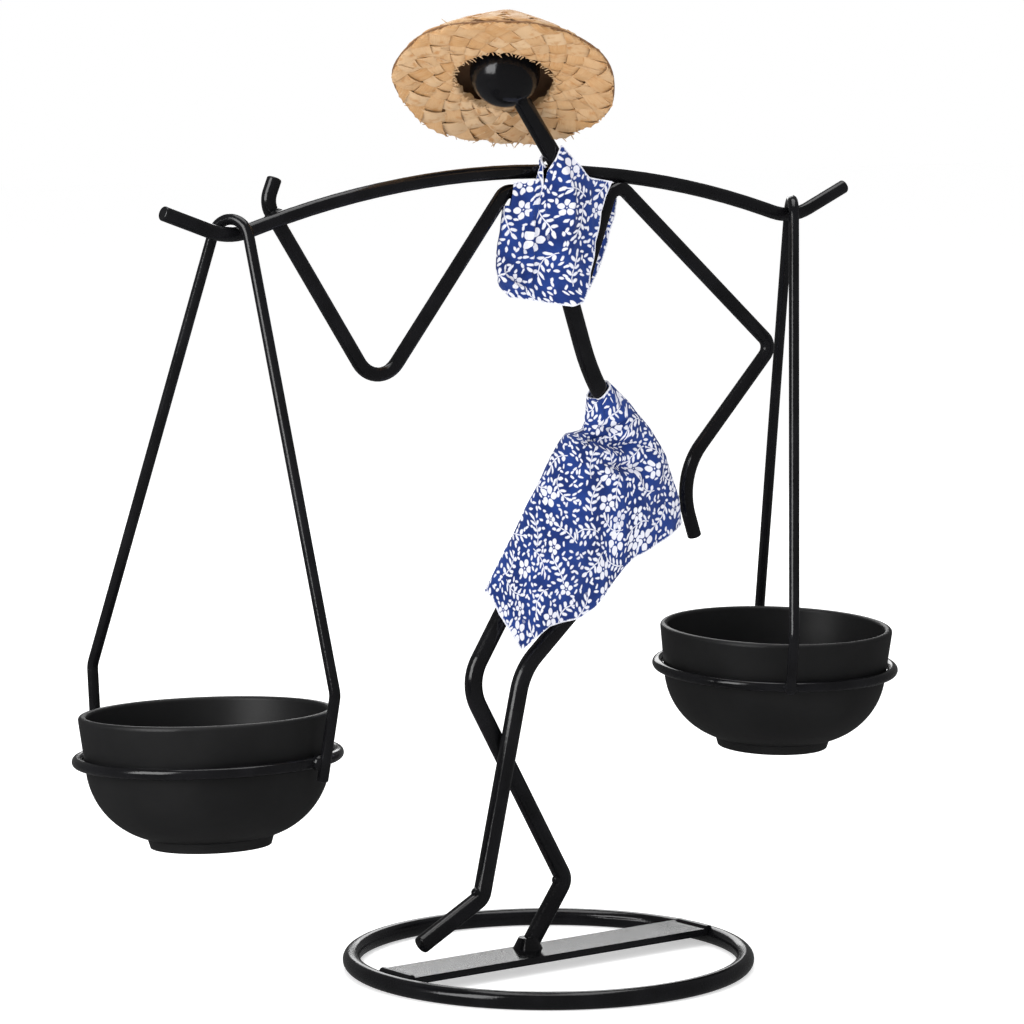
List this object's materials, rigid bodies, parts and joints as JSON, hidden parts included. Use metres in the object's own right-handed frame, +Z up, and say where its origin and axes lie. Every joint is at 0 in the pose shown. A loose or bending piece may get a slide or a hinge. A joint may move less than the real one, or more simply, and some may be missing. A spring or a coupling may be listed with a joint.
{
  "type": "wire figure bowl holder",
  "caption": "Standing wire figure in a straw hat and print skirt, carrying hanging bowls on a shoulder pole.",
  "frame": {"origin": "centre of the base ring, on the table", "axes": "+X along the base bar and the pole, from the walking side to the figure's back; +Y from the front foot's side to the pole's side; +Z up"},
  "size_m": [0.2694, 0.115, 0.2646],
  "materials": {
    "black_paint": "gloss black paint on mild steel rod",
    "bowl_black": "matte charcoal black, slightly lighter at the rim",
    "straw": "flat plaited straw, satin, with darker gaps and frayed ends",
    "cotton_print": "plain woven cotton, blue with an off-white flower and leaf print"
  },
  "bodies": {
    "figure": {"base_ring": "black_paint", "base_bar": "black_paint", "bar_welds": "black_paint", "body_rod": "black_paint", "back_leg": "black_paint", "front_foot": "black_paint", "back_foot": "black_paint", "hip_weld": "black_paint", "neck_weld": "black_paint", "torso_weld": "black_paint", "hand_weld": "black_paint", "ankle_welds": "black_paint", "foot_weld": "black_paint", "arm_torso_rod": "black_paint", "carrying_pole": "black_paint", "head_ball": "black_paint", "blouse": "cotton_print", "skirt": "cotton_print", "neck_tie": "cotton_print"},
    "hat": {"hat_crown": "straw", "hat_brim": "straw"},
    "left_carrier": {"left_bail": "black_paint", "left_bowl_ring": "black_paint", "left_bail_welds": "black_paint"},
    "left_bowl_body": {"left_bowl": "bowl_black"},
    "right_carrier": {"right_bail": "black_paint", "right_bowl_ring": "black_paint", "right_bail_welds": "black_paint"},
    "right_bowl_body": {"right_bowl": "bowl_black"}
  },
  "joints": [
    {"name": "left_carrier_swing", "type": "hinge", "parent": "figure", "child": "left_carrier", "pos_m": [-0.1002, 0.006, 0.20685], "axis": [1, 0, 0], "range_deg": [-30, 30]},
    {"name": "right_carrier_swing", "type": "hinge", "parent": "figure", "child": "right_carrier", "pos_m": [0.0944, 0.006, 0.20725], "axis": [1, 0, 0], "range_deg": [-30, 8]},
    {"name": "left_bowl_lift", "type": "slide", "parent": "left_carrier", "child": "left_bowl_body", "axis": [0, 0.0436, 0.999], "range_m": [0, 0.012]},
    {"name": "right_bowl_lift", "type": "slide", "parent": "right_carrier", "child": "right_bowl_body", "axis": [0, -0.0436, 0.999], "range_m": [0, 0.012]},
    {"name": "hat_lift", "type": "slide", "parent": "figure", "child": "hat", "axis": [0.3891, 0.4031, 0.8283], "range_m": [0, 0.03]}
  ]
}
